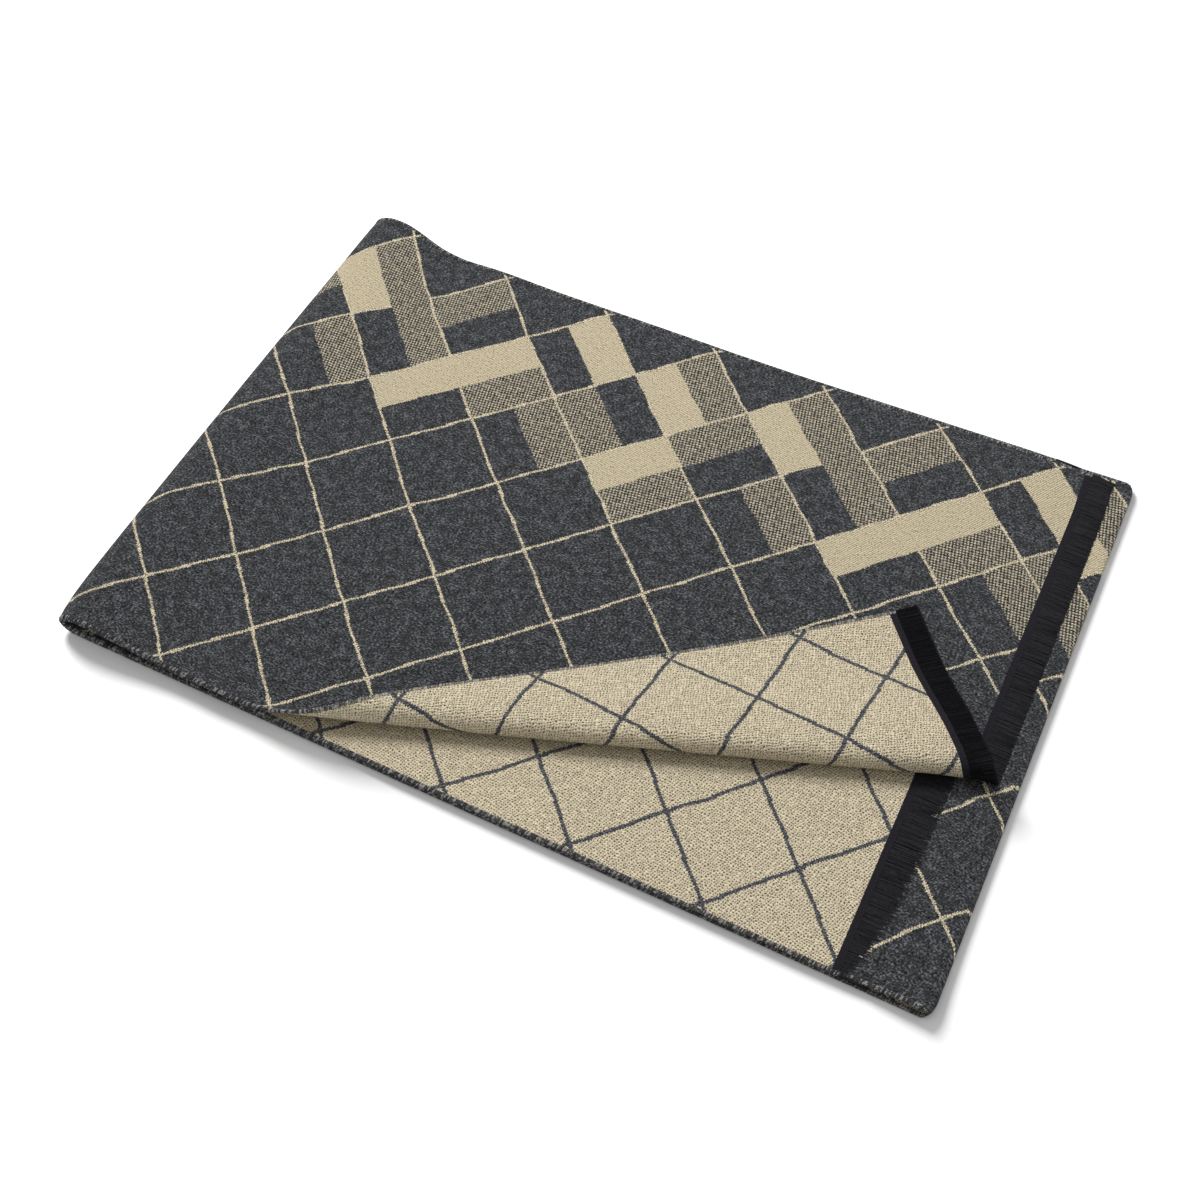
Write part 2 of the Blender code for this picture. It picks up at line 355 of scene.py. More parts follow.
def tweedDots(tree, cloth, fibre):
    # Points of the other yarn in a broken diagonal grid
    dots = calc(tree, "MULTIPLY", waves(tree, cloth, (1, 0.7), 2.9), waves(tree, cloth, (-0.7, 1), 2.7))
    rough = grain(tree, cloth, 480.0, 2.0)
    dots = calc(tree, "ADD", dots, calc(tree, "MULTIPLY_ADD", fibre, 2.4, -1.2))
    return calc(tree, "ADD", dots, calc(tree, "MULTIPLY_ADD", rough, 2.0, -1.0))


def faceMaterial():
    material, tree, shader = fabricMaterial("cloth charcoal face", 0.95, 0.06)
    cloth, kind, lattice = jacquard(tree, 1.35)
    dark, flecks = charcoalColour(tree, cloth)
    twill = waves(tree, cloth, (1.0, 0.62), 1.25)
    fibre = grain(tree, cloth, 1300.0, 2.0, (1.3, 0.7, 1))
    # The beige runs from beige in the twill's valleys to beigePale on its ridges: painted shade and painted
    # highlight on the ribs, over their bump
    pale = mixColour(tree, spread(tree, twill, -0.4, 1.0), clothLooks["beige"], clothLooks["beigePale"])
    pale = mixColour(tree, spread(tree, fibre, 0.52, 0.70), pale, clothLooks["beigeShade"])
    tweed = mixColour(tree, spread(tree, tweedDots(tree, cloth, fibre), 0.06, 0.32), dark, pale)
    isTweed = calc(tree, "GREATER_THAN", kind, 0.25)
    isPale = calc(tree, "GREATER_THAN", kind, 0.75)
    line = mixColour(tree, spread(tree, fibre, 0.44, 0.62), clothLooks["beigePale"], clothLooks["beigeShade"])
    colour = mixColour(tree, isTweed, dark, tweed)
    colour = mixColour(tree, isPale, colour, pale)
    colour = mixColour(tree, lattice, colour, line)
    tree.links.new(colour, shader.inputs["Base Color"])
    height = calc(tree, "MULTIPLY_ADD", twill, 0.10, flecks)
    height = calc(tree, "MULTIPLY_ADD", lattice, 0.25, height)
    addBump(tree, shader, height, 0.0009, 1.0)
    return material


def reverseMaterial():
    material, tree, shader = fabricMaterial("cloth beige reverse", 0.95, 0.06)
    cloth, kind, lattice = jacquard(tree, 1.85)
    dark, flecks = charcoalColour(tree, cloth)
    fibre = grain(tree, cloth, 1150.0, 2.0, (0.7, 1.4, 1))
    uneven = node(tree, "ShaderNodeTexNoise", {"Vector": cloth, "Scale": 260.0, "Detail": 1.0}).outputs[1]
    uneven = scaledVector(tree, uneven, 0.0026)
    pulled = node(tree, "ShaderNodeVectorMath", {0: cloth, 1: uneven}).outputs[0]
    warps, wefts = waves(tree, pulled, (1.0, 0.55), 2.3), waves(tree, pulled, (-0.55, 1.0), 1.9)
    basket = calc(tree, "MULTIPLY", warps, wefts)
    gaps = calc(tree, "ADD", basket, calc(tree, "MULTIPLY_ADD", fibre, 3.0, -1.5))
    bright = spread(tree, fibre, 0.40, 0.60)
    pale = mixColour(tree, bright, clothLooks["reverseBeige"], clothLooks["reversePale"])
    # The sunken gaps between the basket's yarns get a dark beige: painted shade
    pale = mixColour(tree, spread(tree, gaps, 0.30, 0.82), pale, clothLooks["reverseGapShade"])
    tweed = mixColour(tree, spread(tree, tweedDots(tree, cloth, fibre), -0.25, 0.35), pale, dark)
    isTweed = calc(tree, "GREATER_THAN", kind, 0.25)
    isDark = calc(tree, "GREATER_THAN", kind, 0.75)
    worn = spread(tree, fibre, 0.46, 0.66)
    line = mixColour(tree, worn, clothLooks["reverseLine"], clothLooks["charcoalFleck"])
    colour = mixColour(tree, isTweed, pale, tweed)
    colour = mixColour(tree, isDark, colour, dark)
    colour = mixColour(tree, lattice, colour, line)
    tree.links.new(colour, shader.inputs["Base Color"])
    height = calc(tree, "MULTIPLY_ADD", gaps, -0.35, flecks)
    addBump(tree, shader, height, 0.0009, 1.0)
    return material


def whipMaterial():
    # Slate yarn with small pale flecks; every turn of it has its own shade
    material, tree, shader = fabricMaterial("whipped yarn", 0.9, 0.1)
    place = node(tree, "ShaderNodeTexCoord").outputs["Object"]
    shade = node(tree, "ShaderNodeAttribute", attribute_name="shade").outputs["Fac"]
    flecks = grain(tree, place, 1000.0, 1.0)
    fibre = grain(tree, place, 3600.0, 2.0)
    dark = mixColour(tree, shade, yarnLooks["whipDeep"], yarnLooks["whip"])
    fleck = calc(tree, "MULTIPLY_ADD", shade, 0.45, flecks)
    colour = mixColour(tree, spread(tree, fleck, 0.80, 0.90), dark, yarnLooks["whipFleck"])
    colour = mixColour(tree, spread(tree, fibre, 0.45, 1.1), colour, (0, 0, 0, 1))
    tree.links.new(colour, shader.inputs["Base Color"])
    addBump(tree, shader, fibre, 0.0002, 0.7)
    return material


def fringeMaterial():
    # Straight cut yarns, nearly black, each with its own shade
    material, tree, shader = fabricMaterial("brush fringe yarn", 0.85, 0.0)
    place = node(tree, "ShaderNodeTexCoord").outputs["Object"]
    shade = node(tree, "ShaderNodeAttribute", attribute_name="shade").outputs["Fac"]
    fibre = grain(tree, place, 900.0, 2.0)
    colour = mixColour(tree, shade, yarnLooks["fringeDeep"], yarnLooks["fringe"])
    colour = mixColour(tree, spread(tree, fibre, 0.45, 1.2), colour, (0, 0, 0, 1))
    tree.links.new(colour, shader.inputs["Base Color"])
    addBump(tree, shader, fibre, 0.0002, 0.7)
    return material


def bandMaterial():
    # Close weft ribs in dark purple grey, with painted shade darkening the valleys between them
    material, tree, shader = fabricMaterial("end band weave", 0.92, 0.0)
    cloth = node(tree, "ShaderNodeUVMap", uv_map="cloth").outputs[0]
    ribs = waves(tree, cloth, (1, 0), 0.8)
    threads = waves(tree, cloth, (0.1, 1), 1.1)
    fibre = grain(tree, cloth, 1400.0, 2.0)
    weave = calc(tree, "MULTIPLY_ADD", calc(tree, "MULTIPLY", ribs, threads), 0.5, fibre)
    colour = mixColour(tree, spread(tree, weave, 0.2, 1.0), yarnLooks["bandRibShade"], yarnLooks["band"])
    tree.links.new(colour, shader.inputs["Base Color"])
    addBump(tree, shader, weave, 0.0004, 0.9)
    return material


def floorMaterial():
    material, tree, shader = fabricMaterial("pale floor", 0.9, 0.0)
    place = node(tree, "ShaderNodeTexCoord").outputs["Object"]
    faint = spread(tree, grain(tree, place, 3.0, 2.0), 0.3, 0.7)
    colour = mixColour(tree, faint, floorSettings["colour"], (0.95, 0.95, 0.95, 1))
    tree.links.new(colour, shader.inputs["Base Color"])
    return material


faceCloth = faceMaterial()
reverseCloth = reverseMaterial()
bandCloth = bandMaterial()
whipYarn = whipMaterial()
fringeYarn = fringeMaterial()
print("materials made")


def makeFloor():
    half = floorSettings["size"] / 2
    mesh = bpy.data.meshes.new("floor")
    low = cadBox[0].z - floorSettings["below"]
    corners = [(-half, -half, low), (half, -half, low), (half, half, low), (-half, half, low)]
    mesh.from_pydata(corners, [], [(0, 1, 2, 3)])
    mesh.materials.append(floorMaterial())
    floor = bpy.data.objects.new("floor", mesh)
    bpy.context.scene.collection.objects.link(floor)
    return floor


floor = makeFloor()
for level in ("high", "low"):
    makeAreaLight(level + " light", floor, **lightSettings[level])
print("floor and lights made")


# How the cloth lies
lie = {
    "nearDriftStart": -0.0032,  # how far the near selvedge of the lower plies lies off the straight, metres
    "nearDriftSlope": -0.0367,
    "farDriftRight": 0.004,
    "loopHeight": {"middle": 0.0078, "near": 0.0062, "far": 0.0098},  # of the left fold, above the top ply
    "nearReach": 0.035,  # how far in from the near selvedge its near height is felt
    "farReach": 0.030,
    "loopPeak": 0.015,  # from the left of the fold to its highest line
    "loopReach": 0.080,  # from the left of the fold to where the ply is flat again
    "loopJoin": 0.008,  # from the left of the fold to where it meets the bottom ply
    "swell": 0.0018,  # the low rise beyond the fold
    "swellPlace": 0.084,  # from the left of the fold to the swell
    "swellSpread": 0.026,
    "ease": 0.006,  # how far the pattern is drawn to the right at the left fold
    "outerInset": 0.0022,  # from the left of the frame to the outer fold
    "farLean": 0.0035,  # the far left corner leans outwards
    "farFall": 0.30,  # how much faster the fold comes down at the far corner
    "nearInset": 0.0026,  # the near left corner draws in
    "farInset": 0.0020,  # and the far one
    "farEase": 0.0030,  # more ease at the far end of the left fold
    "thirdShift": 0.0010,  # the third ply's near edge lies this far back at the centre fold
    "thirdDraw": 0.0055,  # how far its pattern is drawn back there
    "ripple": 0.0006,  # height of the top ply's soft unevenness
    "rippleStart": 0.081,  # from the left of the fold, past where the fold's own rows end
    "endSkew": -0.001,  # of the far corner of end A
    "endSag": 0.0013,  # of the top ply past the end of the second
    "endSagLength": 0.018,
    "foldLift": 0.0005,  # of the third ply above its level at the centre fold
    "cornerLift": 0.0028,  # more of it at the near corner
    "cornerLiftReach": 0.022,
    "cornerRound": 0.004,  # how far the centre fold's corners are rounded off
    "cornerRoundReach": 0.007,
    "secondSag": 0.0003,  # of the second ply's end
    "secondDrop": 0.0002,  # of the whole second ply, clear of the top one
    "bottomEase": 0.0278,  # how far the pattern is drawn along under the bottom ply
    "innerInset": 0.0037,  # from the left of the frame to the inner fold
}


def lowerDrift(x, y):
    share = (y - nearY) / width
    near = lie["nearDriftStart"] + lie["nearDriftSlope"] * x
    far = lie["farDriftRight"] * np.clip(x / rightX, 0.0, 1.0)
    return near * (1 - share) + far * share


def topDrift(x, y):
    share = (y - nearY) / width
    near = lie["nearDriftStart"] + lie["nearDriftSlope"] * x
    near = near * (1 - smooth((x - leftX - 0.06) / 0.06))
    far = -0.0015 * (1 - np.clip(np.abs(x) / 0.17, 0, 1))
    return near * (1 - share) + far * share


def ripples(x, y):
    wave = np.sin(x * 31 + y * 12 + 0.6) + np.sin(x * 17 - y * 29 + 1.9)
    return lie["ripple"] * (1 + 0.5 * wave)


def swellAt(fromLeft):
    return lie["swell"] * np.exp(-(((fromLeft - lie["swellPlace"]) / lie["swellSpread"]) ** 2))


def topHeight(x):
    # Middle of the top ply: flat, lower past the end of the second ply
    return topZ - lie["endSag"] * smooth((x - bandEndB) / lie["endSagLength"])


def topPlace(x, y):
    # Where a point of the straight, flat top ply lies. x and y are arrays
    skew = lie["endSkew"] * smooth((y - 0.12) / 0.03) * smooth((x + 0.02) / 0.2)
    fromLeft = x - leftX
    rise = ripples(x, y) * smooth((fromLeft - lie["rippleStart"]) / 0.05) * (1 - smooth((x - 0.12) / 0.05))
    return np.stack([x + skew, y + topDrift(x, y), topHeight(x) + (rise + swellAt(fromLeft))], axis=-1)


def loopPath(y, topLevel, bottomLevel, inset):
    # The path of one ply round the left fold at one y: distances from the left, and heights
    near = math.exp(-(y - nearY) / lie["nearReach"])
    far = math.exp(-(((farY - y) / lie["farReach"]) ** 2))
    heights = lie["loopHeight"]
    peak = heights["middle"] + (heights["near"] - heights["middle"]) * near
    peak = peak + (heights["far"] - heights["middle"]) * far
    top = topLevel + peak
    middle = (bottomLevel + top) / 2
    slope = np.linspace(1, 0, 40)[:-1]
    spanned = lie["loopReach"] - lie["loopPeak"]
    swell = swellAt(lie["loopPeak"] + spanned * slope)
    fall = 1 + lie["farFall"] * far
    path = [(lie["loopPeak"] + spanned * a, topLevel + peak * (1 - smooth(a * fall)) + w)
            for a, w in zip(slope, swell)]
    reach = lie["loopPeak"] - inset
    for turn in np.linspace(0, math.pi / 2, 16)[:-1]:
        path.append((inset + reach * (1 - math.sin(turn)), middle + (top - middle) * math.cos(turn)))
    for turn in np.linspace(0, math.pi / 2, 14):
        across = inset + lie["loopJoin"] * (1 - math.cos(turn))
        path.append((across, middle - (middle - bottomLevel) * math.sin(turn)))
    return np.array(path)


def loopPlace(y, path):
    # The path at one y as points, leaning out at the far corner
    x = leftX + thickness / 2 + path[:, 0]
    near = lie["nearInset"] * math.exp(-(y - nearY) / 0.010)
    far = lie["farInset"] * math.exp(-(farY - y) / 0.045)
    x = x + (near + far) * (1 - smooth(path[:, 0] / 0.03))
    lean = smooth((path[:, 1] - bottomZ) / 0.010) * (1 - smooth((path[:, 0] - 0.02) / 0.03))
    lean = lean * lie["farLean"] * math.exp(-(farY - y) / 0.018)
    return np.stack([x, y + topDrift(x, y) + lean, path[:, 1]], axis=-1)


# Making a sheet from rows of points
rowStep = 0.003  # metres from one row of a sheet to the next
clothInset = 0.0002  # the cloth ends just inside its whipped yarn
selvedge = {"reach": 0.0024, "share": 0.62}  # the yarn draws the cloth's edge thinner over this reach

edgeRows = nearY + clothInset + np.array([0.0, 0.0011, 0.0024])
innerRows = np.linspace(edgeRows[-1], nearY + farY - edgeRows[-1], int(width / rowStep))
rowY = np.concatenate([edgeRows[:-1], innerRows, (nearY + farY - edgeRows[:-1])[::-1]])


def plain(piece, sharpAngle=None):
    # The evaluated object as a plain mesh, with its modifiers gone
    graph = bpy.context.evaluated_depsgraph_get()
    mesh = bpy.data.meshes.new_from_object(piece.evaluated_get(graph))
    old = piece.data
    piece.modifiers.clear()
    piece.data = mesh
    bpy.data.meshes.remove(old)
    mesh.name = piece.name
    mesh.shade_smooth()
    if sharpAngle:
        mesh.set_sharp_from_angle(angle=math.radians(sharpAngle))
    return piece


def makeSheet(name, points, coordinates, materials, thick=thickness):
    # points[row][column] is the middle of the cloth. Rows go across it, and columns along it from end A.
    rows, columns = points.shape[:2]
    index = np.arange(rows * columns).reshape(rows, columns)
    quads = np.stack([index[:-1, :-1], index[1:, :-1], index[1:, 1:], index[:-1, 1:]], axis=-1).reshape(-1, 4)
    mesh = bpy.data.meshes.new(name)
    mesh.from_pydata(points.reshape(-1, 3).tolist(), [], quads.tolist())
    layer = mesh.uv_layers.new(name="cloth")
    layer.data.foreach_set("uv", coordinates.reshape(-1, 2)[quads.reshape(-1)].ravel().astype(np.float32))
    for material in materials:
        mesh.materials.append(material)
    sheet = bpy.data.objects.new(name, mesh)
    bpy.context.scene.collection.objects.link(sheet)
    full = sheet.vertex_groups.new(name="full thickness")
    across = coordinates[..., 1].ravel()
    weights = np.clip(np.minimum(across, width - across) / selvedge["reach"], 0, 1)
    full.add(range(len(weights)), 1.0, "REPLACE")
    for vertex in np.nonzero(weights < 1)[0]:
        full.add([int(vertex)], float(weights[vertex]), "REPLACE")
    solid = sheet.modifiers.new("thickness", "SOLIDIFY")
    solid.thickness = thick
    solid.offset = 0.0
    solid.vertex_group = "full thickness"
    solid.thickness_vertex_group = selvedge["share"]
    solid.material_offset = 1
    solid.material_offset_rim = 2
    return plain(sheet, 50)


def lengthAlong(path):
    steps = np.linalg.norm(np.diff(path, axis=0), axis=1)
    return np.concatenate([[0.0], np.cumsum(steps)])


def fold(x, low, high, bulge, side, count):
    # Half an ellipse between two heights, bulging away from x
    turns = np.linspace(0, math.pi, count)
    middle, radius = (low + high) / 2, (high - low) / 2
    return np.stack([x + side * bulge * np.sin(turns), middle - radius * np.cos(turns)], axis=-1)


def withRows(rowFunction, *rightEnd):
    # The grid of a whole ply from the function of one row
    rows = [rowFunction(y, *rightEnd) for y in rowY]
    points = np.array([row[0] for row in rows])
    along = np.array([row[1] for row in rows])
    across = np.repeat((rowY - nearY)[:, None], along.shape[1], axis=1)
    return points, np.stack([along, across], axis=-1)


clothMaterials = (faceCloth, reverseCloth, whipYarn)


# The top ply and the left fold
def topRow(y, rightEnd):
    # From the ply's right end to where it joins the bottom ply
    loop = loopPath(y, topZ, bottomZ, lie["outerInset"])
    flatX = np.linspace(rightEnd, leftX + lie["loopReach"] + 0.001, 112)
    flat = topPlace(flatX, np.full(len(flatX), y))
    curve = loopPlace(y, loop)
    distance = np.concatenate([bandEndA - flatX, bandEndA - curve[0, 0] + lengthAlong(loop)])
    fromLeft = np.concatenate([flatX - leftX, loop[:, 0]])
    ease = lie["ease"] * (1 - smooth(fromLeft / 0.14))
    ease = ease + lie["farEase"] * math.exp(-(farY - y) / 0.05) * (1 - smooth(fromLeft / 0.06))
    return np.concatenate([flat, curve]), distance + ease


def creaseX(y):
    # Where the crease crosses a row of the straight top ply
    return creaseStart[0] + (y - creaseStart[1]) * creaseAlong[0] / creaseAlong[1]


def topRowToCrease(y, rightEnd):
    return topRow(y, min(rightEnd, creaseX(y)))


topCloth = makeSheet("top_cloth", *withRows(topRowToCrease, bandEndA - bandLength), clothMaterials)


# The bottom ply, the centre fold and the third ply
outerFoldS = bandEndA - leftX + 0.012  # cloth from end A to the join at the left fold, metres
foldBulge = 0.0022
lowerColumns = {"bottom": 140, "turn": 14, "third": 129}


def foldLift(x, y):
    # The third ply rises towards the centre fold, most at the corners
    lift = lie["foldLift"] + lie["cornerLift"] * math.exp(-(y - nearY) / lie["cornerLiftReach"])
    return lift * smooth((x - rightX + 0.055) / 0.050)


def thirdShare(x):
    # How much a column of the lower cloth takes part in the third ply's shift
    ramp = smooth(np.linspace(0, 1, lowerColumns["turn"] + 5))
    onThird = np.concatenate([np.zeros(lowerColumns["bottom"]), ramp, np.ones(lowerColumns["third"] - 5)])
    return onThird * smooth((x - 0.01) / 0.15)


def lowerRow(y):
    # From under the left fold, round the centre fold and back to the inner left fold
    edge = min(y - nearY, farY - y)
    rounding = max(0.0, 1 - edge / lie["cornerRoundReach"])
    rounding = lie["cornerRound"] * (1 - math.sqrt(1 - rounding ** 2))
    foldX = rightX - thickness / 2 - foldBulge - rounding
    start = leftX + thickness / 2 + lie["outerInset"] + lie["loopJoin"]
    bottom = np.linspace(start, foldX, lowerColumns["bottom"], endpoint=False)
    turn = fold(foldX, bottomZ, thirdZ + foldLift(foldX, y), foldBulge, 1, lowerColumns["turn"])
    third = np.linspace(foldX, leftX + thickness / 2 + lie["innerInset"] + lie["loopJoin"],
                        lowerColumns["third"] + 1)[1:]
    x = np.concatenate([bottom, turn[:, 0], third])
    z = np.concatenate([np.full(len(bottom), bottomZ), turn[:, 1], thirdZ + foldLift(third, y)])
    back = thirdShare(x) * lie["thirdShift"] * (farY - y) / width
    points = np.stack([x, y + lowerDrift(x, y) + back, z], axis=-1)
    run = lengthAlong(points)
    return points, outerFoldS + run + lie["bottomEase"] * np.clip(run / run[len(bottom)], 0, 1)


lowerPoints, lowerCoordinates = withRows(lowerRow)
lowerAcross = lowerCoordinates[..., 1]
draw = lie["thirdDraw"] * smooth(lowerAcross / 0.035) * (1 - lowerAcross / width)
lowerCoordinates[..., 1] = lowerAcross - draw * np.array([thirdShare(row[:, 0]) for row in lowerPoints])
lowerCloth = makeSheet("lower_cloth", lowerPoints, lowerCoordinates, clothMaterials)


# The second ply and the inner left fold
secondZero = 1.4871  # metres of cloth from end A to x = 0 of the second ply


def secondRow(y, rightEnd):
    # From the ply's right end to the join with the third ply, inside the top ply's own fold
    loop = loopPlace(y, loopPath(y, secondZ, thirdZ, lie["innerInset"]))
    flatX = np.linspace(rightEnd, loop[0, 0] + 0.001, 112)
    sag = lie["secondSag"] * smooth((flatX - rightEnd + 0.02) / 0.02)
    flat = np.stack([flatX, y + lowerDrift(flatX, y), secondZ + secondRise(flatX) - sag], axis=-1)
    points = np.concatenate([flat, loop])
    return points[::-1], (secondZero + rightEnd - lengthAlong(points))[::-1]


def secondRise(x):
    return swellAt(x - leftX) - lie["secondDrop"]


secondCloth = makeSheet("second_cloth", *withRows(secondRow, bandEndB - bandLength), clothMaterials)


# The turned back corner
corner = {
    "along": (0.0, 0.060, 0.100, 0.180, 0.330),  # places along the crease, from the near selvedge
    "radius": (0.0086, 0.0075, 0.0061, 0.0055, 0.0058),  # of the roll there
    "bow": 0.0020,  # how far the middle of the crease lies out of the straight
    "fallLength": 0.060,  # over which the flap comes down from the roll
    "restGap": 0.0006,  # between the flap's tip and the top ply
}


def overCrease(x, y):
    # Where points of the straight, flat top ply lie once the corner is turned back
    x, y = np.broadcast_arrays(np.asarray(x, float), np.asarray(y, float))
    flat = np.stack([x, y, np.full(x.shape, creaseStart[2])], axis=-1) - creaseStart
    out = np.maximum(flat @ creaseOut, 0.0)
    along = flat @ creaseAlong
    foot = creaseStart + along[..., None] * creaseAlong
    shifted = [along + shift for shift in (-0.02, 0.0, 0.02)]
    radius = sum(np.interp(place, corner["along"], corner["radius"]) for place in shifted) / 3
    bow = corner["bow"] * np.sin(math.pi * np.clip(along / corner["along"][-1], 0, 1))
    before = np.minimum(out, bow)
    rolled = out - before
    turn = np.minimum(rolled / radius, math.pi)
    back = np.maximum(rolled - math.pi * radius, 0.0)
    drop = 2 * radius - thickness - corner["restGap"]
    share = np.clip(back / corner["fallLength"], 0, 1)
    shortened = 0.6 * drop ** 2 / corner["fallLength"] * smooth(share)
    sideways = before + radius * np.sin(turn) - (back - shortened)
    placed = topPlace(foot[..., 0], foot[..., 1])
    under = topPlace(foot[..., 0] + sideways * creaseOut[0], foot[..., 1] + sideways * creaseOut[1])
    settled = smooth(back / 0.03)
    placed[..., 2] = placed[..., 2] * (1 - settled) + under[..., 2] * settled
    placed = placed + sideways[..., None] * creaseOut
    placed[..., 2] += radius * (1 - np.cos(turn)) - drop * smooth(share)
    return placed


def creaseY(x):
    return creaseStart[1] + (x - creaseStart[0]) * creaseAlong[1] / creaseAlong[0]


def cornerGrid(xs, rows):
    # Columns at each x of the flat cloth, each from the near selvedge up to the crease
    points, coordinates = [], []
    for share in np.linspace(0, 1, rows):
        y = rowY[0] + np.maximum(creaseY(xs) - rowY[0], 0) * share
        points.append(overCrease(xs, y))
        coordinates.append(np.stack([bandEndA - xs, y - nearY], axis=-1))
    return np.array(points), np.array(coordinates)


cornerXs = np.linspace(bandEndA - bandLength, creaseStart[0] + 0.0012, 130)
cornerCloth = makeSheet("corner_cloth", *cornerGrid(cornerXs, 74), clothMaterials)
print("cloth made")


# The woven bands across the two ends
bandLooks = {"thick": 0.0010, "columns": 4}
bandMaterials = (bandCloth, bandCloth, bandCloth)


def secondPlace(x, y):
    return np.stack([x, y + lowerDrift(x, y), np.full(np.shape(x), secondZ - lie["secondSag"])], axis=-1)


def makeBand(name, place, end, lowY, highY, rows):
    # lowY and highY give the band's two edges at each x
    xs = np.linspace(end, end - bandLength, bandLooks["columns"])
    low, high = lowY(xs), highY(xs)
    ys = np.array([low + (high - low) * share for share in np.linspace(0, 1, rows)])
    points = place(np.broadcast_to(xs, ys.shape), ys)
    coordinates = np.stack([end - np.broadcast_to(xs, ys.shape), ys - nearY], axis=-1)
    return makeSheet(name, points, coordinates, bandMaterials, bandLooks["thick"])


def nearEdge(xs):
    return np.full(np.shape(xs), rowY[0])


def farEdge(xs):
    return np.full(np.shape(xs), rowY[-1])


endABand = makeBand("end_a_band_cloth", topPlace, bandEndA, creaseY, farEdge, 90)
cornerBand = makeBand("corner_band_cloth", overCrease, bandEndA, nearEdge, creaseY, 60)
endBBand = makeBand("end_b_band_cloth", secondPlace, bandEndB, nearEdge, farEdge, 110)
print("bands made")


# Node trees for what repeats along a rail: whipped stitches and fringe yarns
whipLooks = {
    "pitch": 0.00062,  # from one turn of yarn to the next
    "reach": 0.0016,  # how far in from the selvedge each turn goes
    "height": 0.00050,  # of the yarn's middle over the middle of the cloth
    "bulge": 0.00075,  # of the turn's handles past the selvedge
    "slant": 0.00045,
    "yarnRadius": 0.00029,
}
fringeLooks = {
    "spacing": 0.00034,
    "layers": 4,
    "endBStretch": 1.18,  # end B's yarns are a little longer
    "yarnRadius": 0.00025,
    "tilt": 2.2,  # degrees either way
    "droop": 0.0007,
    "seed": 7,
}


def newTree(name, sockets):
    tree = bpy.data.node_groups.new(name, "GeometryNodeTree")
    tree.is_modifier = True
    tree.interface.new_socket("Geometry", in_out="INPUT", socket_type="NodeSocketGeometry")
    tree.interface.new_socket("Geometry", in_out="OUTPUT", socket_type="NodeSocketGeometry")
    for key, kind in sockets.items():
        tree.interface.new_socket(key, in_out="INPUT", socket_type="NodeSocket" + kind)
    return tree, node(tree, "NodeGroupInput").outputs


def closeTree(tree, geometry, material):
    real = node(tree, "GeometryNodeRealizeInstances", {"Geometry": geometry}).outputs[0]
    painted = node(tree, "GeometryNodeSetMaterial", {"Geometry": real, "Material": material}).outputs[0]
    node(tree, "NodeGroupOutput", {0: painted})
    return tree


def withShade(tree, instances, seed):
    # Gives each instance a value from 0 to 1 that its material reads
    shade = node(tree, "FunctionNodeRandomValue", {2: 0.0, 3: 1.0, "Seed": seed}).outputs[1]
    given = {"Geometry": instances, "Name": "shade", "Value": shade}
    stored = node(tree, "GeometryNodeStoreNamedAttribute", given, data_type="FLOAT", domain="INSTANCE")
    return stored.outputs[0]


def railTurn(tree, across):
    # The turn that puts local Z on the rail's face side, and the axis named by across on its outward side
    faceUp, outward = (node(tree, "GeometryNodeInputNamedAttribute", {"Name": name},
                            data_type="FLOAT_VECTOR").outputs[0] for name in ("faceUp", "outward"))
    turned = node(tree, "FunctionNodeAxesToRotation", {"Primary Axis": faceUp, "Secondary Axis": outward},
                  primary_axis="Z", secondary_axis=across)
    return turned.outputs[0], faceUp, outward


def vector(tree, x=0.0, y=0.0, z=0.0):
    return node(tree, "ShaderNodeCombineXYZ", {0: x, 1: y, 2: z}).outputs[0]


def alongCurve(tree, rail, spacing):
    # Points that far apart along the rail
    curve = node(tree, "GeometryNodeMeshToCurve", {0: rail}).outputs[0]
    points = node(tree, "GeometryNodeCurveToPoints", {"Curve": curve, "Length": spacing}, mode="LENGTH")
    return points.outputs[0]


def roundYarn(tree, curve, sides, radius):
    profile = node(tree, "GeometryNodeCurvePrimitiveCircle", {"Resolution": sides, "Radius": radius})
    given = {"Curve": curve, "Profile Curve": profile.outputs[0], "Fill Caps": True}
    return node(tree, "GeometryNodeCurveToMesh", given).outputs[0]


def whipTree():
    sockets = {"Pitch": "Float", "Reach": "Float", "Height": "Float", "Bulge": "Float", "Slant": "Float",
               "Yarn Radius": "Float", "Material": "Material"}
    tree, given = newTree("whipped stitches", sockets)
    points = alongCurve(tree, given["Geometry"], given["Pitch"])
    inner = calc(tree, "MULTIPLY", given["Reach"], -1.0)
    lower = calc(tree, "MULTIPLY", given["Height"], -1.0)
    high = calc(tree, "MULTIPLY", given["Height"], 2.3)
    low = calc(tree, "MULTIPLY", given["Height"], -2.3)
    back = calc(tree, "MULTIPLY", given["Slant"], -1.0)
    turn = node(tree, "GeometryNodeCurvePrimitiveBezierSegment", {
        "Resolution": 6,
        "Start": vector(tree, back, inner, given["Height"]),
        "Start Handle": vector(tree, 0.0, given["Bulge"], high),
        "End Handle": vector(tree, 0.0, given["Bulge"], low),
        "End": vector(tree, given["Slant"], inner, lower),
    }).outputs[0]
    yarn = roundYarn(tree, turn, 4, given["Yarn Radius"])
    rotation = railTurn(tree, "Y")[0]
    many = node(tree, "GeometryNodeInstanceOnPoints", {"Points": points, "Instance": yarn,
                                                       "Rotation": rotation}).outputs[0]
    return closeTree(tree, withShade(tree, many, 3), given["Material"])


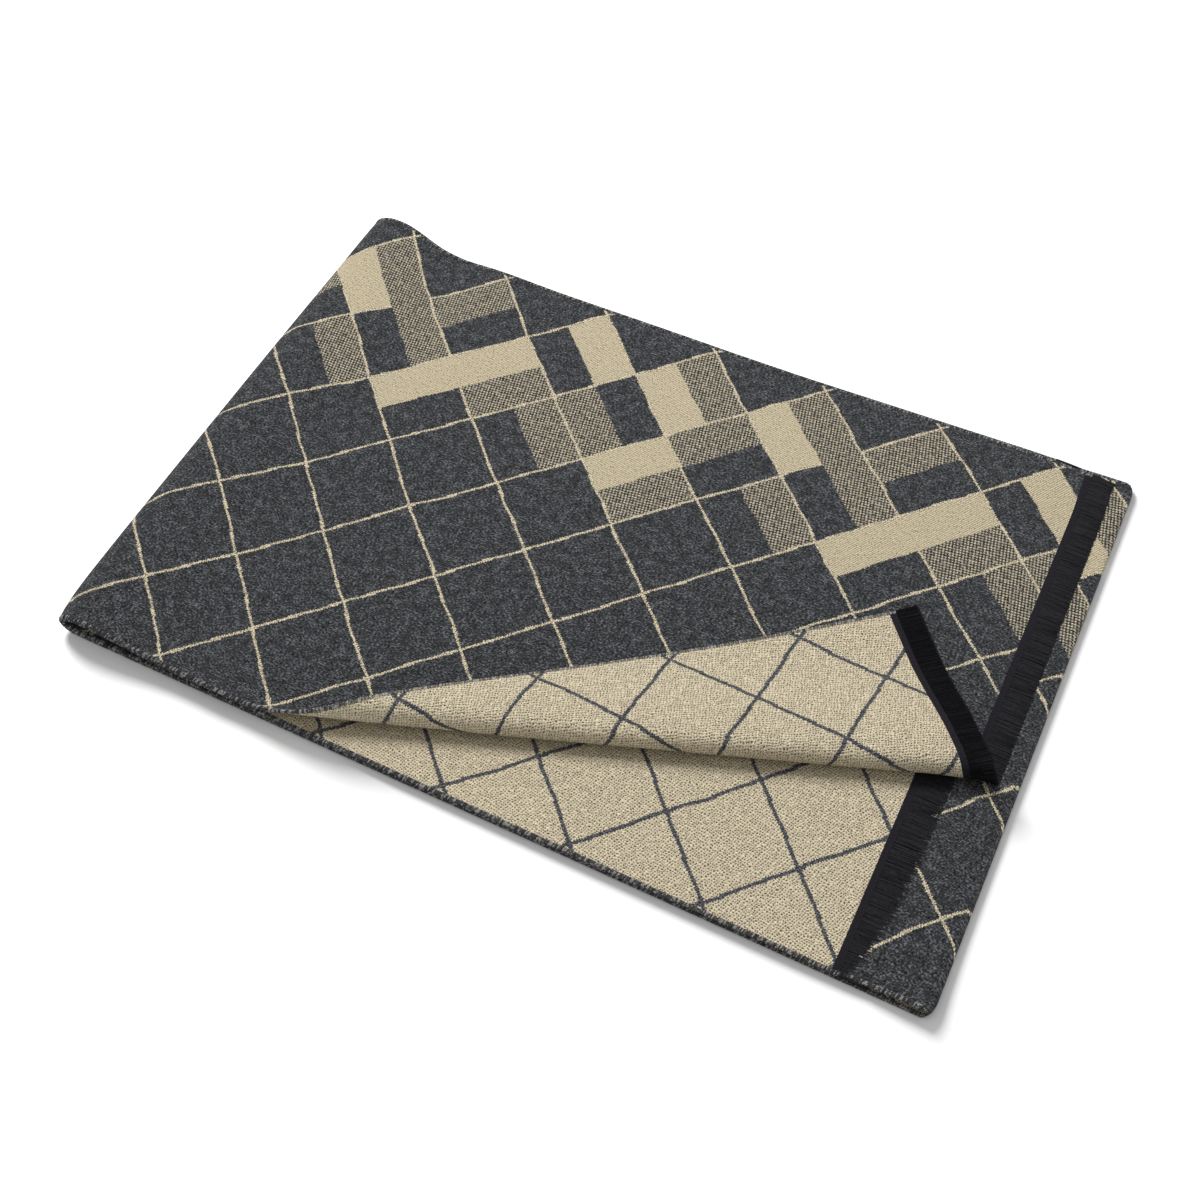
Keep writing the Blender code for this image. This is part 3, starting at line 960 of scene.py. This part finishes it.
def fringeTree():
    sockets = {"Spacing": "Float", "Layers": "Int", "Length": "Float", "Yarn Radius": "Float",
               "Tilt": "Float", "Droop": "Float", "Seed": "Int", "Material": "Material"}
    tree, given = newTree("brush fringe", sockets)
    points = alongCurve(tree, given["Geometry"], given["Spacing"])
    layers = {"Geometry": points, "Amount": given["Layers"]}
    many = node(tree, "GeometryNodeDuplicateElements", layers, domain="POINT").outputs[0]
    rotation, faceUp, outward = railTurn(tree, "X")
    lift = node(tree, "FunctionNodeRandomValue", {2: -0.0003, 3: 0.0003, "Seed": given["Seed"]}).outputs[1]
    depth = node(tree, "FunctionNodeRandomValue", {2: -0.0010, 3: -0.0002, "Seed": given["Seed"]}).outputs[1]
    up, out = scaledVector(tree, faceUp, lift), scaledVector(tree, outward, depth)
    offset = node(tree, "ShaderNodeVectorMath", {0: up, 1: out}).outputs[0]
    moved = node(tree, "GeometryNodeSetPosition", {"Geometry": many, "Offset": offset}).outputs[0]
    droop = calc(tree, "MULTIPLY", given["Droop"], -1.0)
    shape = node(tree, "GeometryNodeCurveQuadraticBezier", {
        "Resolution": 4,
        "Start": vector(tree),
        "Middle": vector(tree, calc(tree, "MULTIPLY", given["Length"], 0.5)),
        "End": vector(tree, given["Length"], 0.0, droop),
    }).outputs[0]
    share = node(tree, "GeometryNodeSplineParameter").outputs[0]
    taper = calc(tree, "MULTIPLY_ADD", share, -0.55, 1.0)
    shape = node(tree, "GeometryNodeSetCurveRadius", {"Curve": shape, "Radius": taper}).outputs[0]
    yarn = roundYarn(tree, shape, 3, given["Yarn Radius"])
    swing = calc(tree, "RADIANS", given["Tilt"])
    back = calc(tree, "MULTIPLY", swing, -1.0)
    flat = calc(tree, "MULTIPLY", swing, 0.35)
    tilt = node(tree, "FunctionNodeRandomValue", {
        0: vector(tree, 0.0, calc(tree, "MULTIPLY", flat, -1.0), back),
        1: vector(tree, 0.0, flat, swing), "Seed": given["Seed"]}, data_type="FLOAT_VECTOR").outputs[0]
    tilted = node(tree, "FunctionNodeRotateRotation", {0: rotation, 1: node(
        tree, "FunctionNodeEulerToRotation", {0: tilt}).outputs[0]}, rotation_space="LOCAL").outputs[0]
    length = node(tree, "FunctionNodeRandomValue", {2: 0.95, 3: 1.02, "Seed": given["Seed"]}).outputs[1]
    brush = node(tree, "GeometryNodeInstanceOnPoints", {"Points": moved, "Instance": yarn, "Rotation": tilted,
                 "Scale": vector(tree, length, 1.0, 1.0)}).outputs[0]
    return closeTree(tree, withShade(tree, brush, given["Seed"]), given["Material"])


whipStitches = whipTree()
brushFringe = fringeTree()


def unit(vectors):
    return vectors / np.linalg.norm(vectors, axis=-1, keepdims=True)


def alongRail(name, line, inward, faceSide, tree, values):
    # Runs a tree on the rail through line. inward is the same line a little further into the cloth.
    # faceSide is 1 where the cross product of inward and forward is the charcoal side, or else -1.
    forward = np.gradient(line, axis=0)
    into = inward - line
    faceUp = unit(np.cross(into, forward)) * faceSide
    outward = unit(np.cross(forward, faceUp))
    outward = outward * np.sign(np.sum(outward * -into, axis=-1, keepdims=True))
    mesh = bpy.data.meshes.new(name)
    mesh.from_pydata(line.tolist(), [(i, i + 1) for i in range(len(line) - 1)], [])
    for key, vectors in (("faceUp", faceUp), ("outward", outward)):
        attribute = mesh.attributes.new(key, "FLOAT_VECTOR", "POINT")
        attribute.data.foreach_set("vector", vectors.astype(np.float32).ravel())
    piece = bpy.data.objects.new(name, mesh)
    bpy.context.scene.collection.objects.link(piece)
    modifier = piece.modifiers.new("along rail", "NODES")
    modifier.node_group = tree
    for item in tree.interface.items_tree:
        if item.in_out == "INPUT" and item.name in values:
            modifier[item.identifier] = values[item.name]
    return plain(piece)


whipValues = {
    "Pitch": whipLooks["pitch"], "Reach": whipLooks["reach"], "Height": whipLooks["height"],
    "Bulge": whipLooks["bulge"], "Slant": whipLooks["slant"], "Yarn Radius": whipLooks["yarnRadius"],
    "Material": whipYarn,
}
fringeValues = {
    "Spacing": fringeLooks["spacing"], "Layers": fringeLooks["layers"],
    "Yarn Radius": fringeLooks["yarnRadius"], "Tilt": fringeLooks["tilt"], "Droop": fringeLooks["droop"],
    "Seed": fringeLooks["seed"], "Material": fringeYarn,
}


def whipRow(name, near, rowFunction, *rightEnd):
    first, second = (rowY[0], rowY[2]) if near else (rowY[-1], rowY[-3])
    line, inward = rowFunction(first, *rightEnd)[0], rowFunction(second, *rightEnd)[0]
    return alongRail(name, line, inward, 1 if near else -1, whipStitches, whipValues)


topNearWhipping = whipRow("top_near_whipping", True, topRow, creaseX(rowY[0]))
topFarWhipping = whipRow("top_far_whipping", False, topRow, bandEndA)
lowerNearWhipping = whipRow("lower_near_whipping", True, lowerRow)
lowerFarWhipping = whipRow("lower_far_whipping", False, lowerRow)
secondNearWhipping = whipRow("second_near_whipping", True, secondRow, bandEndB)
secondFarWhipping = whipRow("second_far_whipping", False, secondRow, bandEndB)
whippedXs = np.linspace(bandEndA, creaseStart[0] + 0.0006, 160)
cornerWhipping = alongRail("corner_whipping", overCrease(whippedXs, rowY[0]), overCrease(whippedXs, rowY[2]),
                           1, whipStitches, whipValues)
print("selvedges whipped")


def fringeAlong(name, place, end, lowY, highY, stretch=1.0):
    ys = np.linspace(lowY, highY, 120)
    line, inward = (place(np.full(len(ys), x), ys) for x in (end, end - bandLength))
    values = dict(fringeValues, Length=fringeLength * stretch)
    return alongRail(name, line, inward, -1, brushFringe, values)


endAFringe = fringeAlong("end_a_fringe_yarns", topPlace, bandEndA, creaseY(bandEndA), rowY[-1])
cornerFringe = fringeAlong("corner_fringe_yarns", overCrease, bandEndA, rowY[0], creaseY(bandEndA))
endBFringe = fringeAlong("end_b_fringe_yarns", secondPlace, bandEndB, rowY[0], rowY[-1],
                         fringeLooks["endBStretch"])
print("fringes made")


# Riding pieces attached to their bodies; blended pieces, listed with two bodies and a turn, only baked in
# place; and the parts of the frame each piece stands for, hidden
leftTurn = {"start": (leftX, 0, 0.0014), "end": (leftX + 0.00017, 0, 0.0047)}
innerTurn = {"start": (leftX, 0, 0.0033), "end": (leftX + 0.00011, 0, 0.0055)}
creaseFoot = creaseStart + np.array([0, 0, 0.0003])
creaseTop = creaseFoot + (2 * creaseRadius - 0.0006) * (np.array([0, 0, 0.966]) - 0.259 * creaseOut)
cornerTurn = {"start": tuple(creaseFoot), "end": tuple(creaseTop)}

blended = (
    (topCloth, "base", "top_layer", leftTurn),
    (topNearWhipping, "base", "top_layer", leftTurn),
    (topFarWhipping, "base", "top_layer", leftTurn),
    (secondCloth, "base", "second_layer", innerTurn),
    (secondNearWhipping, "base", "second_layer", innerTurn),
    (secondFarWhipping, "base", "second_layer", innerTurn),
    (cornerCloth, "top_layer", "corner_flap_body", cornerTurn),
    (cornerWhipping, "top_layer", "corner_flap_body", cornerTurn),
    (cornerBand, "top_layer", "corner_flap_body", cornerTurn),
    (cornerFringe, "top_layer", "corner_flap_body", cornerTurn),
)
for piece, first, second, turn in blended:
    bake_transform(piece)

riding = (
    (lowerCloth, "base"), (lowerNearWhipping, "base"), (lowerFarWhipping, "base"),
    (endABand, "top_layer"), (endAFringe, "top_layer"),
    (endBBand, "second_layer"), (endBFringe, "second_layer"),
)
for piece, body in riding:
    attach(piece, body)

standsFor = (
    (topCloth, "cloth_charcoal_side", "top_ply", "outer_left_fold"),
    (lowerCloth, "cloth_charcoal_side", "bottom_ply", "third_ply", "centre_fold"),
    (secondCloth, "cloth_beige_side", "second_ply", "inner_left_fold"),
    (cornerCloth, "cloth_beige_side", "crease_roll", "corner_flap"),
    (topNearWhipping, "edge_stitching", "top_ply_near_stitching", "outer_fold_near_stitching"),
    (topFarWhipping, "edge_stitching", "top_ply_far_stitching", "outer_fold_far_stitching"),
    (lowerNearWhipping, "edge_stitching", "base_near_stitching"),
    (lowerFarWhipping, "edge_stitching", "base_far_stitching"),
    (secondNearWhipping, "edge_stitching", "second_ply_near_stitching", "inner_fold_near_stitching"),
    (secondFarWhipping, "edge_stitching", "second_ply_far_stitching", "inner_fold_far_stitching"),
    (cornerWhipping, "edge_stitching", "crease_stitching", "flap_stitching"),
    (endABand, "end_band", "end_a_band"),
    (endAFringe, "brush_fringe", "end_a_fringe"),
    (cornerBand, "end_band", "crease_band", "flap_band"),
    (cornerFringe, "brush_fringe", "crease_fringe", "flap_fringe"),
    (endBBand, "end_band", "end_b_band"),
    (endBFringe, "brush_fringe", "end_b_fringe"),
)
for piece, slot, *nodes in standsFor:
    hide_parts(*nodes)


# Flat lengths of three of the pieces of the one cloth: top, lower and second
def clothLength(rowFunction, *rightEnd):
    # Of a ply from end to end, along its middle row
    return float(lengthAlong(rowFunction((nearY + farY) / 2, *rightEnd)[0])[-1])


topLength = clothLength(topRow, bandEndA - bandLength)
lowerLength = clothLength(lowerRow)
secondLength = clothLength(secondRow, bandEndB - bandLength)
